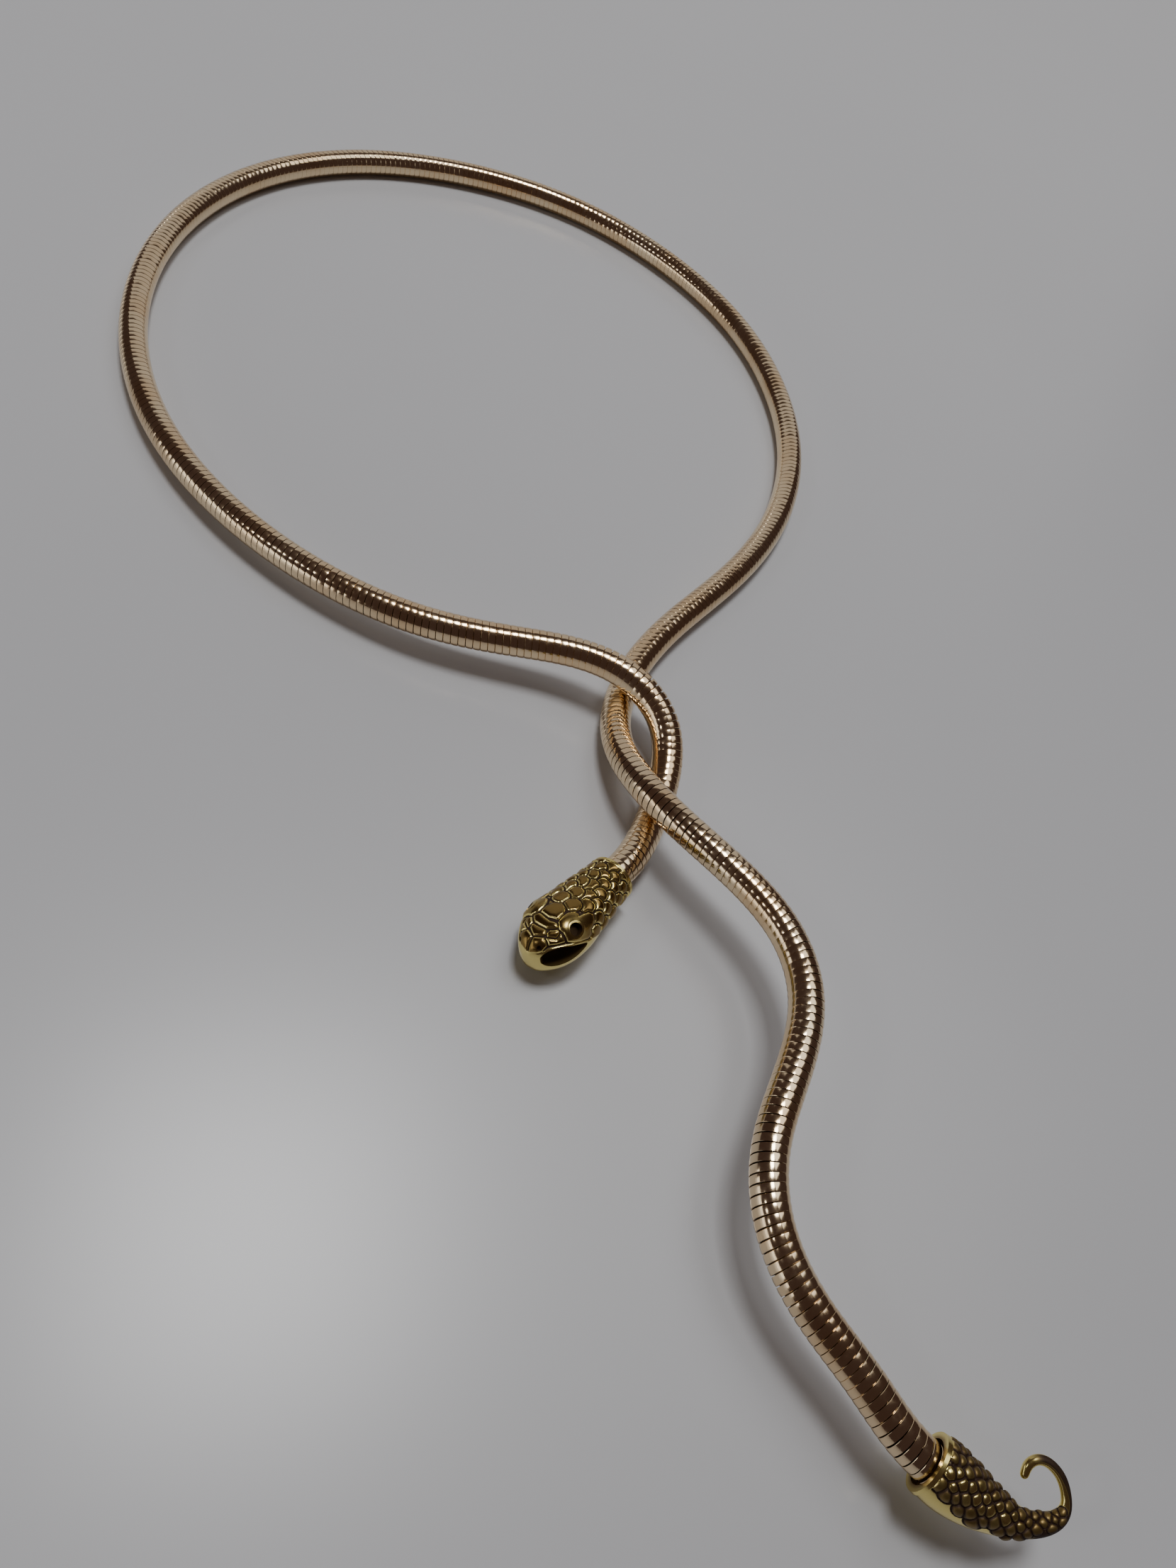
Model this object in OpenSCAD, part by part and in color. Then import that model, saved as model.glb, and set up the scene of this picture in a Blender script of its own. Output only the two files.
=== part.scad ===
// Bendable snake necklace, lying as it rests on a table.
// +Z is up, the neck loop is towards +Y and the hooked tail towards -Y.
// The origin is under the middle of the whole piece, on the table.

/* [Body tube] */
// Outer diameter of the wound body tube
tube_d = 6; // [5.6:0.1:6.1]
// Sides of the tube's round section
tube_sides = 14; // [10:2:16]
// Rings swept between two points of the route
tube_steps = 4; // [2:1:4]

/* [Snake head] */
// Length from the neck rim to the tip of the snout
head_l = 23.6; // [22.8:0.2:24.6]
// Greatest width, across the jaw
head_w = 12; // [11.2:0.2:12.8]
// Height at the eyes, from chin to crown
head_h = 9.6; // [9.2:0.2:10]
// Outer diameter of the plain rim round the neck
neck_d = 8.8; // [8.6:0.1:9.2]
// How far the left side of the head is rolled up from level
head_roll = 28; // [20:1:30]
// Diameter of each round eye recess
eye_d = 2.3; // [1.6:0.1:2.6]
// Length of the mouth slot along the head
mouth_l = 8; // [7:0.2:8.6]
// Height of the mouth slot at its widest
mouth_h = 3.7; // [3:0.1:3.9]
// Diameter of the snout's post, in front of the slot
post_d = 4.7; // [4.2:0.1:5]
// Diameter of each nostril
nostril_d = 0.8; // [0.5:0.1:1]

/* [Tail cap] */
// Outer diameter of the plain rim round the tail socket
rim_d = 9; // [8.8:0.1:9.4]
// Length of the horn from its rim to the outside of the hook
horn_l = 18.8; // [17.5:0.1:20]
// Diameter of the wire that forms the hook
hook_wire_d = 1.7; // [1.4:0.1:2]
// How far the hook leans over from upright
hook_lean = 60; // [40:5:75]

/* [Sockets and scales] */
// Depth that the tube goes into each casting
socket_depth = 5; // [3:0.5:6]
// Gap all round the tube in its socket
socket_gap = 0.1; // [0.05:0.05:0.2]
// Inner diameter of each socket's wider mouth
throat_d = 7; // [6.8:0.1:7.4]
// Length of one raised scale along the casting
scale_l = 1.9; // [1.6:0.1:2.4]
// Height of the raised scales
scale_h = 0.3; // [0.1:0.05:0.4]

/* [Hidden] */

// Scales round the full girth of a casting
scales_round = 14;

// Route of the tube's centre line, from the neck rim to the tail rim: x, y and height.
// The short strand passes under the long one, then over it, before the loop.
ROUTE = [
    [-20, -58, 5],
    [-14, -54.5, 4.8],
    [-6.5, -46.5, 3.4],
    [0, -37.5, 4.4],
    [2.5, -28.5, 7.8],
    [-2, -18.5, 10.6],
    [-11, -10.5, 9.6],
    [-23, -5.5, 8],
    [-37.5, 1, 6.8],
    [-51, 11.5, 5.8],
    [-63, 25.5, 5],
    [-73, 43, 4.2],
    [-79.5, 64, 3.4],
    [-80.5, 88, 3],
    [-75, 113, 3],
    [-62.5, 136.5, 3],
    [-44, 155, 3],
    [-21, 166, 3],
    [3, 168.5, 3],
    [28, 163.5, 3],
    [50.5, 151.5, 3],
    [68, 131, 3],
    [79, 106, 3],
    [80.5, 80, 3],
    [74, 52, 3],
    [58.5, 28, 3],
    [38, 11, 3],
    [15.5, -1, 3],
    [0, -13.5, 3],
    [-8.5, -27, 4],
    [-10, -40, 8.6],
    [-7.5, -53, 12.4],
    [-1.5, -64.5, 13.4],
    [3.5, -77.5, 14.2],
    [1.5, -91, 14.8],
    [-7, -101.5, 14.4],
    [-16.5, -110.5, 13.8],
    [-21, -122, 12.8],
    [-19.5, -134, 11.8],
    [-15.2, -143.8, 11.2],
    [-13, -152.2, 10.4],
    [-10.2, -156.8, 9.9],
];

// The neck rim's radius as shares of the head's width and height
neck_w = neck_d / 2 / head_w;
neck_h = neck_d / 2 / head_h;

// Sections of the head: place along it, half width, height above and below the axis, all as
// shares of the head's own sizes, then how square the section is above and below the axis.
HEAD = [
    [0.00, neck_w, neck_h, neck_h, 2.0, 2.0],
    [0.06, neck_w, neck_h, neck_h, 2.0, 2.0],
    [0.12, 0.380, 0.458, 0.458, 2.1, 2.1],
    [0.22, 0.405, 0.458, 0.458, 2.2, 2.4],
    [0.36, 0.448, 0.458, 0.458, 2.4, 2.6],
    [0.50, 0.490, 0.465, 0.471, 2.4, 2.8],
    [0.62, 0.503, 0.522, 0.485, 2.4, 2.8],
    [0.74, 0.485, 0.502, 0.485, 2.4, 2.8],
    [0.84, 0.405, 0.400, 0.480, 2.4, 2.8],
    [0.92, 0.300, 0.380, 0.408, 2.4, 2.8],
    [0.98, 0.190, 0.240, 0.335, 2.4, 2.6],
    [1.00, 0.080, 0.110, 0.180, 2.2, 2.4],
];

// Sections of the tail: place along the cap's axis, rise towards the inside of the hook,
// and how far the radius has grown from the hook wire's to the rim's.
TAIL = [
    [0.0, 0.0, 1.00],
    [1.3, 0.1, 1.07],
    [3.5, 0.2, 1.09],
    [6.7, 0.6, 0.97],
    [10.3, 1.3, 0.70],
    [13.2, 2.3, 0.46],
    [14.9, 3.2, 0.33],
    [16.7, 4.8, 0.25],
    [17.8, 6.6, 0.16],
    [17.9, 8.2, 0.06],
    [17.2, 9.5, 0.00],
    [15.8, 10.7, 0.00],
    [14.2, 11.5, 0.00],
    [12.1, 11.6, 0.00],
    [10.7, 10.8, 0.00],
    [10.3, 9.5, 0.00],
    [10.6, 8.3, -0.02],
    [10.9, 7.6, -0.09],
];

// Point of the smooth curve that a row of control points guides, u counted in spans
function spline(rows, u) =
    let (
        i = min(floor(u), len(rows) - 2),
        t = u - i,
        a = i == 0 ? 2 * rows[0] - rows[1] : rows[i - 1],
        d = i == len(rows) - 2 ? 2 * rows[i + 1] - rows[i] : rows[i + 2]
    )
    (pow(1 - t, 3) * a
        + (3 * pow(t, 3) - 6 * pow(t, 2) + 4) * rows[i]
        + (-3 * pow(t, 3) + 3 * pow(t, 2) + 3 * t + 1) * rows[i + 1]
        + pow(t, 3) * d) / 6;

// All the points of that curve, with a number of steps in each span
function curve(rows, steps) =
    [for (k = [0 : (len(rows) - 1) * steps]) spline(rows, k / steps)];

function unit(v) = v / norm(v);

// Direction of a path at its point i
function heading(path, i) =
    unit(path[min(i + 1, len(path) - 1)] - path[max(i - 1, 0)]);

// Faces of a skin over rings of points, closed at both ends
function skin_faces(rings, sides) = concat(
    [[for (k = [0 : sides - 1]) k]],
    [for (r = [0 : rings - 2], k = [0 : sides - 1])
        let (a = r * sides + k, b = r * sides + (k + 1) % sides)
        each [[a, a + sides, b], [b, a + sides, b + sides]]],
    [[for (k = [sides - 1 : -1 : 0]) (rings - 1) * sides + k]]
);

// Solid skin over a list of rings, each with the same number of points
module skin(rings) {
    polyhedron(points = [for (ring = rings) each ring],
        faces = skin_faces(len(rings), len(rings[0])), convexity = 8);
}

// Height of the raised scales at a place along a casting and an angle round it
function scale_dome(along, angle) =
    let (
        row = along / scale_l,
        i = floor(row),
        column = angle * scales_round / 360 + (i % 2) / 2,
        across = 2 * (column - round(column)),
        ahead = 2 * (row - i) - 1
    )
    max(0, 1 - across * across) * max(0, 1 - ahead * ahead);

// 1 between two limits, falling to 0 over a soft edge outside them
function within(value, low, high, edge) =
    max(0, min(1, (value - low) / edge + 1, (high - value) / edge + 1));

// Where the castings sit: the tube's two ends and the way that each points outward
head_at = ROUTE[0];
head_way = unit(ROUTE[0] - ROUTE[1]);
tail_at = ROUTE[len(ROUTE) - 1];
tail_way = unit(tail_at - ROUTE[len(ROUTE) - 2]);

// Moves a casting from its own frame, x outward from the tube, to its place
module at_end(at, way, roll) {
    translate(at)
        rotate([roll, -asin(way[2]), atan2(way[1], way[0])])
            children();
}

// Bore for the tube's end, with a wider mouth at the casting's rim
module socket() {
    throat_depth = 1.5;
    rotate([0, 90, 0]) {
        translate([0, 0, -1])
            cylinder(r = tube_d / 2 + socket_gap, h = socket_depth + 1, $fn = 48);
        translate([0, 0, -1])
            cylinder(d = throat_d, h = throat_depth + 1, $fn = 48);
    }
}

// Body tube: straight into both sockets, and one smooth sweep between them
module gooseneck() {
    reach = socket_depth - socket_gap;
    path = concat([head_at + head_way * reach], curve(ROUTE, tube_steps), [tail_at + tail_way * reach]);
    color([0.80, 0.62, 0.48])
        skin([for (i = [0 : len(path) - 1])
            let (
                way = heading(path, i),
                side = unit(cross(way, [0, 0, 1])),
                down = cross(way, side)
            )
            [for (k = [0 : tube_sides - 1])
                let (a = 360 * k / tube_sides)
                path[i] + tube_d / 2 * (cos(a) * side + sin(a) * down)]]);
}

// Rounded-square section: sine or cosine raised to a power, with its sign kept
function squared(value, squareness) = sign(value) * pow(abs(value), 2 / squareness);

// The eyes' place: share of the head's length, and angle down each side from the crown
eye_along = 0.695;
eye_angle = 58;

// Relief of the head: grooved scales on the back and sides, a dome over each eye
function head_relief(along, angle) =
    let (
        share = along / head_l,
        dome_h = 0.3,
        dome_share = 0.09,
        dome_angle = 24,
        flank_angle = 115,
        first_scale = 0.07,
        last_scale = 0.56,
        flank = within(abs(angle - 90), 0, flank_angle, 10),
        scaled = within(share, first_scale, last_scale, 0.03) * flank,
        eye = pow((share - eye_along) / dome_share, 2)
            + pow((abs(angle - 90) - eye_angle) / dome_angle, 2)
    )
    scale_h * (scale_dome(along, angle) - 0.5) * scaled + dome_h * exp(-eye);

// One ring of the head's skin, seen from the neck, with its relief
function head_ring(row) =
    let (sides = 56)
    [for (k = [0 : sides - 1])
        let (
            angle = -90 + 360 * k / sides,
            above = sin(angle) > 0,
            square = above ? row[4] : row[5],
            y = row[1] * head_w * squared(cos(angle), square),
            z = (above ? row[2] : row[3]) * head_h * squared(sin(angle), square),
            out = 1 + head_relief(row[0] * head_l, angle) / max(1, norm([y, z]))
        )
        [row[0] * head_l, y * out, z * out]];

// Outline of the mouth slot seen from the side: round in front, pointed and lower behind
module mouth_outline() {
    lip_l = 0.6;
    half_share = 0.46;
    swell = 0.48;
    slant = 0.33;
    middle = head_l - lip_l - mouth_l / 2;
    polygon([for (a = [0 : 15 : 345]) [
        middle + mouth_l / 2 * cos(a),
        slant * (cos(a) - 1) + half_share * mouth_h * sin(a) * (1 + swell * cos(a))
    ]]);
}

// Cutter of the mouth: through from side to side, bowed round the post in front of it
module mouth() {
    post_setback = 0.25;
    difference() {
        rotate([90, 0, 0])
            linear_extrude(height = 2 * head_w, center = true)
                mouth_outline();
        translate([head_l - post_setback, 0, -head_h / 2])
            cylinder(d = post_d, h = head_h, $fn = 32);
    }
}

// Snake head casting
module snake_head() {
    eye_depth = 0.42;
    nostril_along = 0.94;
    nostril_side = 1.9;
    nostril_z = 2;
    nostril_splay = 20;
    nostril_tilt = 45;
    drill_l = 3;
    color([0.62, 0.50, 0.20])
        at_end(head_at, head_way, head_roll)
            difference() {
                skin([for (row = curve(HEAD, 4)) head_ring(row)]);
                socket();
                mouth();
                for (side = [-1, 1]) {
                    translate([head_l * eye_along, 0, 0])
                        rotate([-side * eye_angle, 0, 0])
                            translate([0, 0, head_w * eye_depth])
                                cylinder(d = eye_d, h = drill_l, $fn = 24);
                    translate([head_l * nostril_along, side * nostril_side, nostril_z])
                        rotate([-side * nostril_splay, nostril_tilt, 0])
                            cylinder(d = nostril_d, h = drill_l, $fn = 16);
                }
            }
}

// One ring of the tail's skin, square to its path in the plane of the hook.
// Scales cover the side that faces up, and the underside stays plain.
function tail_ring(path, i, radii) =
    let (
        sides = 28,
        share = i / (len(path) - 1),
        way = heading(path, i),
        rise = [-way[2], 0, way[0]],
        up_angle = 250 + 35 * share,
        belt_angle = 75,
        plain_rim = 0.09,
        plain_wire = 0.72,
        full_r = 3,
        scaled = within(share, plain_rim, plain_wire, 0.02),
        height = scale_h * min(1, radii[i] / full_r)
    )
    [for (k = [0 : sides - 1])
        let (
            angle = 360 * k / sides,
            aside = abs((angle - up_angle + 540) % 360 - 180),
            raised = height * (scale_dome(path[i][0], angle) - 0.5) * scaled * within(aside, 0, belt_angle, 10)
        )
        path[i] + (radii[i] + raised) * (-cos(angle) * rise + sin(angle) * [0, 1, 0])];

// Tail casting: socket, scaled horn and the round wire of the hook
module tail_cap() {
    rows = curve(TAIL, 4);
    table_l = 18.8;
    grow = horn_l / table_l;
    wire_r = hook_wire_d / 2;
    path = [for (row = rows) [row[0] * grow, 0, row[1]]];
    radii = [for (row = rows) wire_r + row[2] * (rim_d / 2 - wire_r)];
    color([0.55, 0.44, 0.18])
        at_end(tail_at, tail_way, -hook_lean)
            difference() {
                skin([for (i = [0 : len(path) - 1]) tail_ring(path, i, radii)]);
                socket();
            }
}

gooseneck();
snake_head();
tail_cap();
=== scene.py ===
"""Bendable snake necklace: a wound strip tube, a cast snake head and a scaled tail with a hook."""

import logging
import math
from collections.abc import Callable, Sequence
from dataclasses import dataclass, field
from enum import Enum

import bpy
import numpy as np
from bpy.types import ID, Material, Mesh, Node, NodeSocket, NodeTree, Object
from mathutils import Matrix, Vector


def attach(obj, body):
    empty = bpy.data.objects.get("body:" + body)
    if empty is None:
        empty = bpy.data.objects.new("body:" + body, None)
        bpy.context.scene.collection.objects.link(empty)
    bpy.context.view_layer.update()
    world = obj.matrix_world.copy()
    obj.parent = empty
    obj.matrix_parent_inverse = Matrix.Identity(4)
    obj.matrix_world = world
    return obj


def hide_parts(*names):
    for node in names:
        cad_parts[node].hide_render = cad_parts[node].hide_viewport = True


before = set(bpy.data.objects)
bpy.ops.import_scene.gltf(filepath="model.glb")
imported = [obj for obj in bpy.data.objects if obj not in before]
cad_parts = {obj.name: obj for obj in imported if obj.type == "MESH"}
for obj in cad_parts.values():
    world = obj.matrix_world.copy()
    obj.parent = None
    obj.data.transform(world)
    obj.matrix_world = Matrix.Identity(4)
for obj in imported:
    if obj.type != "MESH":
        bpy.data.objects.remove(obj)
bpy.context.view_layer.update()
LOG = logging.getLogger("necklace")
MM = 0.001
# Farther than any scale or plate reaches, in millimetres.
FAR = 9.0
ROD_RINGS_PER_MM = 3
Array = np.ndarray
Pair = tuple[float, float]
Triple = tuple[float, float, float]
Outline = Sequence[Pair]


class Slot(Enum):
    """The record's material slots."""

    STRIP = "strip"
    ANTIQUE_GOLD = "antique_gold"


class Side(Enum):
    """The two sides of the head, seen from its neck."""

    LEFT = 1
    RIGHT = -1


@dataclass(frozen=True)
class Number:
    """An output socket that takes part in written arithmetic, on the board where its node lies."""

    board: "Board"
    socket: NodeSocket

    def _maths(self, operation: str, first: object, second: object = None) -> "Number":
        """Result of a maths node with one value or two."""
        values = {0: first} if second is None else {0: first, 1: second}
        return self.board.number("ShaderNodeMath", values, operation=operation)

    def __add__(self, other: object) -> "Number":
        """Sum."""
        return self._maths("ADD", self, other)

    def __sub__(self, other: object) -> "Number":
        """Difference."""
        return self._maths("SUBTRACT", self, other)

    def __rsub__(self, other: object) -> "Number":
        """Difference from a plain number."""
        return self._maths("SUBTRACT", other, self)

    def __mul__(self, other: object) -> "Number":
        """Product."""
        return self._maths("MULTIPLY", self, other)

    __radd__ = __add__
    __rmul__ = __mul__

    def __truediv__(self, other: object) -> "Number":
        """Quotient."""
        return self._maths("DIVIDE", self, other)

    def __mod__(self, other: object) -> "Number":
        """Remainder that keeps the sign of the divisor."""
        return self._maths("FLOORED_MODULO", self, other)

    def floor(self) -> "Number":
        """Largest whole number that isn't over this one."""
        return self._maths("FLOOR", self)

    def sine(self) -> "Number":
        """Sine of an angle in radians."""
        return self._maths("SINE", self)

    def cosine(self) -> "Number":
        """Cosine of an angle in radians."""
        return self._maths("COSINE", self)

    def step_between(self, low: float, high: float) -> "Number":
        """Smooth step of this number, from 0 at the low value to 1 at the high one."""
        values = {"Value": self, "From Min": low, "From Max": high}
        return self.board.number("ShaderNodeMapRange", values, "Result", interpolation_type="SMOOTHSTEP")


@dataclass(frozen=True)
class Board:
    """A node tree that nodes are laid on, for a finish or for a wound shape."""

    tree: NodeTree

    def node(self, kind: str, values: dict | None = None, **settings: object) -> Node:
        """Lays one node.

        Args:
            kind: The node's type name.
            values: Plain values, sockets or Numbers for its inputs, by name or by place.
            **settings: Its properties.

        Returns:
            The new node.
        """
        item = self.tree.nodes.new(kind)
        for name, setting in settings.items():
            setattr(item, name, setting)
        for name, value in (values or {}).items():
            self.feed(item.inputs[name], value)
        return item

    def feed(self, socket: NodeSocket, value: object) -> None:
        """Links or sets one input.

        Args:
            socket: The input socket.
            value: A Number, an output socket, or a plain value.
        """
        if isinstance(value, Number):
            value = value.socket
        if isinstance(value, NodeSocket):
            self.tree.links.new(value, socket)
        elif socket.type == "RGBA" and len(value) == 3:
            socket.default_value = (*value, 1.0)
        else:
            socket.default_value = value

    def number(
        self, kind: str, values: dict | None = None, output: str | int = 0, **settings: object
    ) -> Number:
        """Lays a node as above and gives one of its outputs, by name or by place, for arithmetic."""
        return Number(self, self.node(kind, values, **settings).outputs[output])

    def mix(self, share: object, first: object, second: object) -> NodeSocket:
        """Colour between two, by the share of the second; its sockets are the mix node's 6, 7 and 2."""
        return self.node("ShaderNodeMix", {0: share, 6: first, 7: second}, data_type="RGBA").outputs[2]

    def vector(self, operation: str, *values: object) -> NodeSocket:
        """Result of a vector maths node from its inputs in order, where None leaves one as it is."""
        inputs = {place: value for place, value in enumerate(values) if value is not None}
        return self.node("ShaderNodeVectorMath", inputs, operation=operation).outputs["Vector"]

    def scaled(self, vector: NodeSocket, number: object) -> NodeSocket:
        """Vector times a number."""
        return self.vector("SCALE", vector, None, None, number)

    def attribute(self, name: str) -> Number:
        """Number that the mesh carries at each point under a name."""
        return self.number("ShaderNodeAttribute", None, "Fac", attribute_name=name)

    def choice(self, place: Number, entries: Sequence[Triple]) -> NodeSocket:
        """Picks one of a list of vectors.

        Args:
            place: Its place in the list, counted from 0.
            entries: The vectors.

        Returns:
            The picked vector's socket.
        """
        item = self.node("GeometryNodeIndexSwitch", {"Index": place}, data_type="VECTOR")
        while len(item.index_switch_items) < len(entries):
            item.index_switch_items.new()
        for socket, entry in zip(item.inputs[1:], entries):
            socket.default_value = entry
        return item.outputs[0]

    def noise(self, scale: float, detail: float, roughness: float = 0.5) -> Number:
        """Cloudy noise over the piece's own place.

        Args:
            scale: Number of clouds in a metre.
            detail: How many finer layers it has.
            roughness: How strong the finer layers are.

        Returns:
            Numbers from 0 to 1.
        """
        place = self.node("ShaderNodeTexCoord").outputs["Object"]
        values = {"Vector": place, "Scale": scale, "Detail": detail, "Roughness": roughness}
        return self.number("ShaderNodeTexNoise", values, "Fac")

    def bump(self, strength: float, distance: float, height: Number) -> NodeSocket:
        """Normal of a surface made uneven by a height, which counts in the given distance."""
        values = {"Strength": strength, "Distance": distance, "Height": height}
        return self.node("ShaderNodeBump", values).outputs["Normal"]


def new_finish(name: str, metallic: float = 1.0) -> tuple[Material, Board, Node]:
    """Starts a material.

    Args:
        name: The material's name.
        metallic: 1 for a metal, 0 for what isn't one.

    Returns:
        The material, its board and its shader node.
    """
    material = bpy.data.materials.new(name)
    material.use_nodes = True
    material.node_tree.nodes.clear()
    board = Board(material.node_tree)
    shader = board.node("ShaderNodeBsdfPrincipled", {"Metallic": metallic})
    board.node("ShaderNodeOutputMaterial", {"Surface": shader.outputs["BSDF"]})
    return material, board, shader


@dataclass(frozen=True)
class StripFinish:
    """Polished rose-gold coloured strip, dull in the gaps between its turns, where painted shade darkens
    it.

    A pair is where a change starts and where it ends.
    """

    polished: Triple = (0.87, 0.69, 0.45)
    warm: Triple = (0.81, 0.59, 0.35)
    gap: Triple = (0.10, 0.06, 0.03)
    cloud_scale: float = 90.0
    smear_scale: float = 900.0
    clouded: Pair = (0.35, 0.7)
    smeared: Pair = (0.45, 0.8)
    painted_shade_steps: Pair = (0.1, 0.7)
    roughness: float = 0.13
    smear_dulls: float = 0.10
    gap_dulls: float = 0.3
    scratch_strength: float = 0.05
    scratch_depth: float = 0.00003

    def material(self) -> Material:
        """Builds the finish.

        Returns:
            The new material.
        """
        material, board, shader = new_finish("polished strip")
        depth = board.attribute("gap_depth")
        cloud = board.noise(self.cloud_scale, detail=3.0)
        smear = board.noise(self.smear_scale, detail=4.0, roughness=0.6)
        tone = board.mix(cloud.step_between(*self.clouded), self.polished, self.warm)
        # Painted shade: the gap colour darkens the strip by how deep in the gaps between turns it lies.
        tone = board.mix(depth.step_between(*self.painted_shade_steps), tone, self.gap)
        dull = self.smear_dulls * smear.step_between(*self.smeared) + self.gap_dulls * depth
        board.feed(shader.inputs["Base Color"], tone)
        board.feed(shader.inputs["Roughness"], self.roughness + dull)
        board.feed(shader.inputs["Normal"], board.bump(self.scratch_strength, self.scratch_depth, smear))
        return material


@dataclass(frozen=True)
class CastFinish:
    """Antiqued gold casting: burnished high places and grooves left dark by antiquing; the same dark colour
    also serves as painted shade on the tail.

    A pair is where a change starts and where it ends.
    """

    burnished: Triple = (0.86, 0.72, 0.27)
    satin: Triple = (0.29, 0.19, 0.06)
    patina_and_shade: Triple = (0.040, 0.018, 0.010)
    blotch_scale: float = 420.0
    grain_scale: float = 2600.0
    blotch_wears: float = 0.35
    blotch_darkens: float = 0.25
    worn: Pair = (0.2, 1.0)
    grooved: Pair = (0.25, 0.75)
    roughness: float = 0.18
    polish_smooths: float = 0.04
    grain_dulls: float = 0.12
    patina_and_shade_dulls: float = 0.4
    patina_and_shade_covers: float = 0.55
    blotch_lifts: float = 0.6
    grain_strength: float = 0.12
    grain_depth: float = 0.00006

    def material(self) -> Material:
        """Builds the finish.

        Returns:
            The new material.
        """
        material, board, shader = new_finish("antiqued gold")
        groove, polish = board.attribute("groove"), board.attribute("polish")
        blotch = board.noise(self.blotch_scale, detail=4.0)
        grain = board.noise(self.grain_scale, detail=3.0, roughness=0.6)
        worn = (polish + self.blotch_wears * blotch).step_between(*self.worn)
        tone = board.mix(worn, self.satin, self.burnished)
        # The dark share is the antiquing in the grooves, a set darkness on cut faces, and painted shade on
        # the tail's outer end and hook; polish is wear, and along the tail's ridge it is partly a painted
        # highlight.
        dark = (groove + self.blotch_darkens * (blotch - 0.5)).step_between(*self.grooved)
        dull = self.grain_dulls * grain + self.patina_and_shade_dulls * dark
        uneven = board.bump(self.grain_strength, self.grain_depth, grain + self.blotch_lifts * blotch)
        board.feed(shader.inputs["Base Color"], board.mix(dark, tone, self.patina_and_shade))
        board.feed(shader.inputs["Roughness"], self.roughness - self.polish_smooths * polish + dull)
        board.feed(shader.inputs["Metallic"], 1.0 - self.patina_and_shade_covers * dark)
        board.feed(shader.inputs["Normal"], uneven)
        return material


@dataclass(frozen=True)
class TableFinish:
    """Pale, slightly mottled table top."""

    colour: Triple = (0.62, 0.63, 0.65)
    mottle: float = 1.06
    mottle_scale: float = 7.0
    roughness: float = 0.275

    def material(self) -> Material:
        """Builds the finish.

        Returns:
            The new material.
        """
        material, board, shader = new_finish("pale table", 0.0)
        lighter = tuple(self.mottle * part for part in self.colour)
        patches = board.noise(self.mottle_scale, detail=3.0)
        board.feed(shader.inputs["Base Color"], board.mix(patches, self.colour, lighter))
        board.feed(shader.inputs["Roughness"], self.roughness)
        return material


def spline(rows: Array, where: Array) -> Array:
    """Points of the smooth curve that a row of control points guides.

    Args:
        rows: Control points, one a row.
        where: Places along the curve, counted in spans.

    Returns:
        One row for each place.
    """
    span = np.minimum(np.floor(where).astype(int), len(rows) - 2)
    t = (where - span)[:, None]
    near = np.vstack([2 * rows[0] - rows[1], rows, 2 * rows[-1] - rows[-2]])
    return (
        (1 - t) ** 3 * near[span]
        + (3 * t**3 - 6 * t**2 + 4) * near[span + 1]
        + (-3 * t**3 + 3 * t**2 + 3 * t + 1) * near[span + 2]
        + t**3 * near[span + 3]
    ) / 6


def travelled(rows: Array) -> Array:
    """Distance along a row of points, 0 at the first."""
    return np.append(0, np.cumsum(np.linalg.norm(np.diff(rows, axis=0), axis=1)))


def unit(rows: Array) -> Array:
    """Rows of vectors, each made one long."""
    return rows / np.maximum(np.linalg.norm(rows, axis=-1, keepdims=True), 1e-12)


def smooth_step(value: Array, low: float, high: float) -> Array:
    """Smooth rise of the values from 0 at the low one to 1 at the high one."""
    t = np.clip((value - low) / (high - low), 0.0, 1.0)
    return t * t * (3 - 2 * t)


def bell(value: Array, width: float) -> Array:
    """Smooth hill, 1 where the value is 0 and falling off over a width to both sides."""
    return np.exp(-((value / width) ** 2))


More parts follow.
